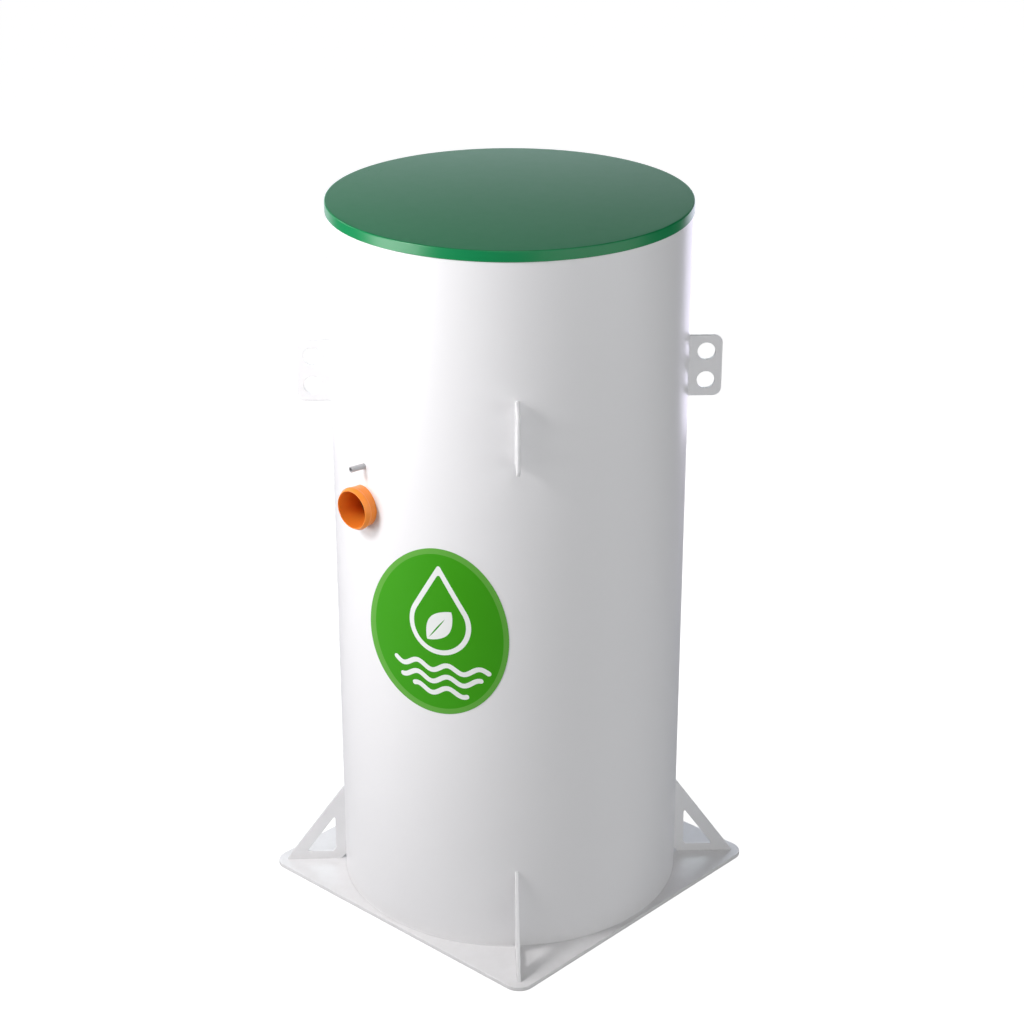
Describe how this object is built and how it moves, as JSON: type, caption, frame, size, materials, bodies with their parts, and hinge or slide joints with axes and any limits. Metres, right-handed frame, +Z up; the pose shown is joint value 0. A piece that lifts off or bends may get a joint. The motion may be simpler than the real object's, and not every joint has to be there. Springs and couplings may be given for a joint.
{
  "type": "biological sewage treatment unit",
  "caption": "Upright round plastic tank on a square base plate, with lifting lugs, gussets, a lift-off lid and a side inlet socket, for treating household sewage.",
  "frame": {"origin": "centre of the base plate's underside", "axes": "+Z up along the tank's axis; the base plate's sides run along X and Y; the inlet socket faces -Y"},
  "size_m": [1.027, 1.053, 2.093],
  "materials": {
    "white_plastic": "smooth white polypropylene sheet, semi-gloss",
    "green_plastic": "smooth green polypropylene sheet, semi-gloss",
    "orange_plastic": "moulded orange-brown sewer fitting, semi-gloss",
    "grey_plastic": "light grey extruded pipe",
    "label_film": "printed self-adhesive film"
  },
  "bodies": {
    "tank": {"base_plate": "white_plastic", "tank_floor": "white_plastic", "wall_front": "white_plastic", "wall_front_right": "white_plastic", "wall_right": "white_plastic", "wall_back_right": "white_plastic", "wall_back": "white_plastic", "wall_back_left": "white_plastic", "wall_left": "white_plastic", "wall_front_left": "white_plastic", "lug_front_right": "white_plastic", "gusset_front_right": "white_plastic", "lug_back_right": "white_plastic", "gusset_back_right": "white_plastic", "lug_back_left": "white_plastic", "gusset_back_left": "white_plastic", "lug_front_left": "white_plastic", "gusset_front_left": "white_plastic", "inlet_socket": "orange_plastic", "cable_conduit": "grey_plastic", "round_label": "label_film"},
    "lid": {"lid_cover": "green_plastic", "lid_rim": "green_plastic", "lid_locating_ring": "green_plastic"}
  },
  "joints": [
    {"name": "lid_lift", "type": "slide", "parent": "tank", "child": "lid", "axis": [0, 0, 1], "range_m": [0, 0.3]}
  ]
}
